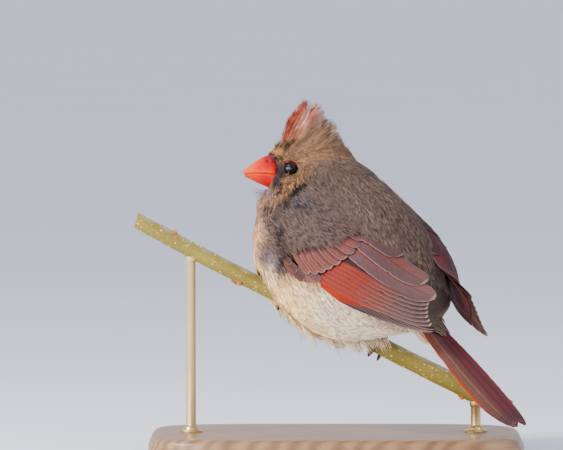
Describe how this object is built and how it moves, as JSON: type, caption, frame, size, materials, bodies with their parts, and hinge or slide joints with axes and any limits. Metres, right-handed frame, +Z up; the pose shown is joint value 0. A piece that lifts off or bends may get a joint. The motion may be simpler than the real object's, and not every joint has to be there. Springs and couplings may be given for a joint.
{
  "type": "northern cardinal, female, still model",
  "caption": "Life-size still model of a puffed-up female northern cardinal gripping a cut length of sloping twig, on a flat wooden display stand.",
  "frame": {"origin": "middle of the underside of the stand's base, on the floor", "axes": "+Z up, square to the base's underside; the bird's trunk faces -Y, its left side is +X, and its head is turned 60 degrees to its left"},
  "size_m": [0.152, 0.1809, 0.1415],
  "materials": {
    "buff_feathers": "soft grey-brown and buff feathers, slightly matt",
    "red_feathers": "dull red and grey flight feathers with a faint sheen",
    "bill_horn": "smooth coral-red horn",
    "eye_dark": "near-black polished eye",
    "leg_scales": "scaly skin",
    "claw_horn": "dark horn",
    "twig_bark": "smooth olive-green bark with small pale spots",
    "stand_wood": "oiled brown wood",
    "stand_brass": "satin brass"
  },
  "bodies": {
    "root": {"head": "buff_feathers", "crest": "buff_feathers", "neck": "buff_feathers", "torso": "buff_feathers", "rump": "buff_feathers", "tail": "red_feathers", "wing_left": "red_feathers", "wing_right": "red_feathers", "bill_upper": "bill_horn", "bill_lower": "bill_horn", "eye_left": "eye_dark", "eye_right": "eye_dark", "leg_left": "leg_scales", "leg_right": "leg_scales", "claw_left_1": "claw_horn", "claw_left_2": "claw_horn", "claw_left_3": "claw_horn", "claw_left_4": "claw_horn", "claw_right_1": "claw_horn", "claw_right_2": "claw_horn", "claw_right_3": "claw_horn", "claw_right_4": "claw_horn", "perch": "twig_bark", "stand_base": "stand_wood", "stand_rod_left": "stand_brass", "stand_rod_right": "stand_brass"}
  },
  "joints": []
}
